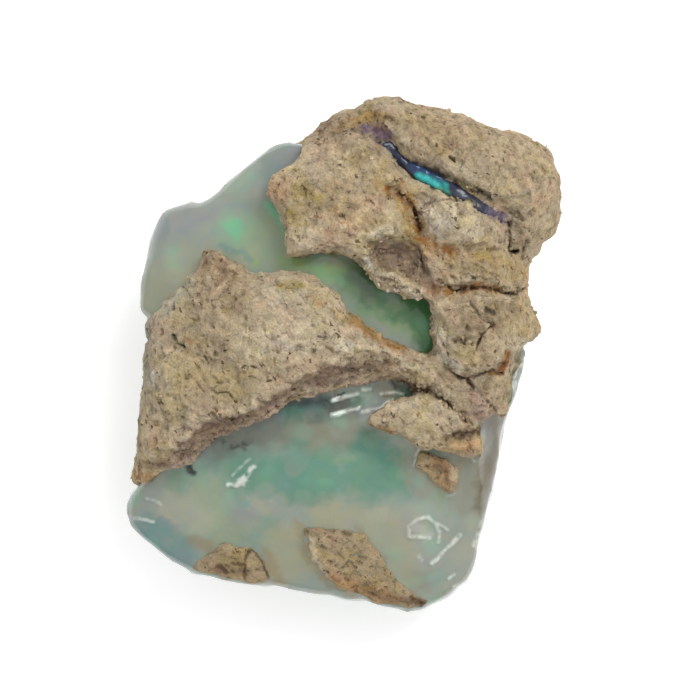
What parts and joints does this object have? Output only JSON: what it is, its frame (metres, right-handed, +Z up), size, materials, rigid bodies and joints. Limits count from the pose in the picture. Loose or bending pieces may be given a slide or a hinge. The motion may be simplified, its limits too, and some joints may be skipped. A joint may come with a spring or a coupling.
{
  "type": "rough opal specimen",
  "caption": "Rough opal, a pale glassy mass of green and blue fire half covered by a crust of sandy volcanic rock, lying on its back.",
  "frame": {"origin": "middle of the stone's outline seen from above, on the surface that it lies on", "axes": "+Y along the stone, from its bare opal end to its rocky crown; +Z up, out of its best face; +X to the right as the face is looked at"},
  "size_m": [0.031, 0.0366, 0.0155],
  "materials": {
    "opal_body": "milky precious opal, glassy on its breaks",
    "host_rock": "sandy tan volcanic rock, rough and pitted",
    "opal_seam": "dark blue and turquoise opal, glassy",
    "rock_scraps": "orange brown rock, rough and grainy"
  },
  "bodies": {
    "root": {"opal_body": "opal_body", "host_rock": "host_rock", "opal_seam": "opal_seam", "rock_inclusion": "rock_scraps", "bottom_crust": "rock_scraps", "corner_crust": "rock_scraps"}
  },
  "joints": []
}
